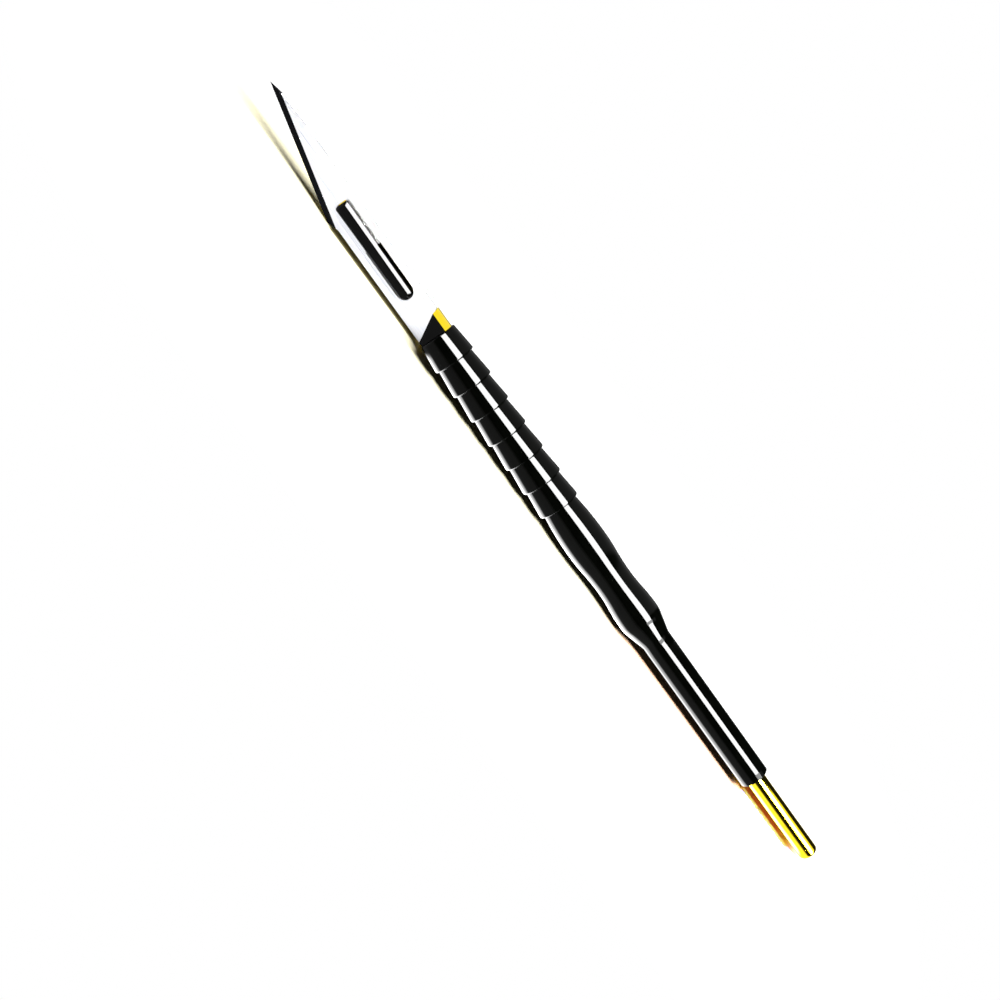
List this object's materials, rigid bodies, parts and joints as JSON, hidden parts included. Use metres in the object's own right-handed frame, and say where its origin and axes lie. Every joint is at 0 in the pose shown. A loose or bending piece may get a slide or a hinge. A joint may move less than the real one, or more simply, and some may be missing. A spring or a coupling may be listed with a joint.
{
  "type": "scalpel handle with fitted blade",
  "caption": "Slim round scalpel handle: black ringed grip on a gold-coloured metal core with a bare tail, and a pointed straight-edged blade fitted to its tongue.",
  "frame": {"origin": "centre of the grip's rear end face, on the handle's axis, where the bare tail leaves it", "axes": "+X along the handle's axis towards the tail, with the blade's tip at -X; +Z towards the blade's spine; -Y towards the blade's seen face"},
  "size_m": [0.1384, 0.0064, 0.0071],
  "materials": {
    "blade_steel": "brushed faces with a polished ground edge",
    "gold_metal": "polished gold colour, with the blade seat's flat, step and tongue finished black",
    "black_gloss": "high gloss black"
  },
  "bodies": {
    "root": {"blade": "blade_steel", "core": "gold_metal", "grip": "black_gloss"}
  },
  "joints": []
}
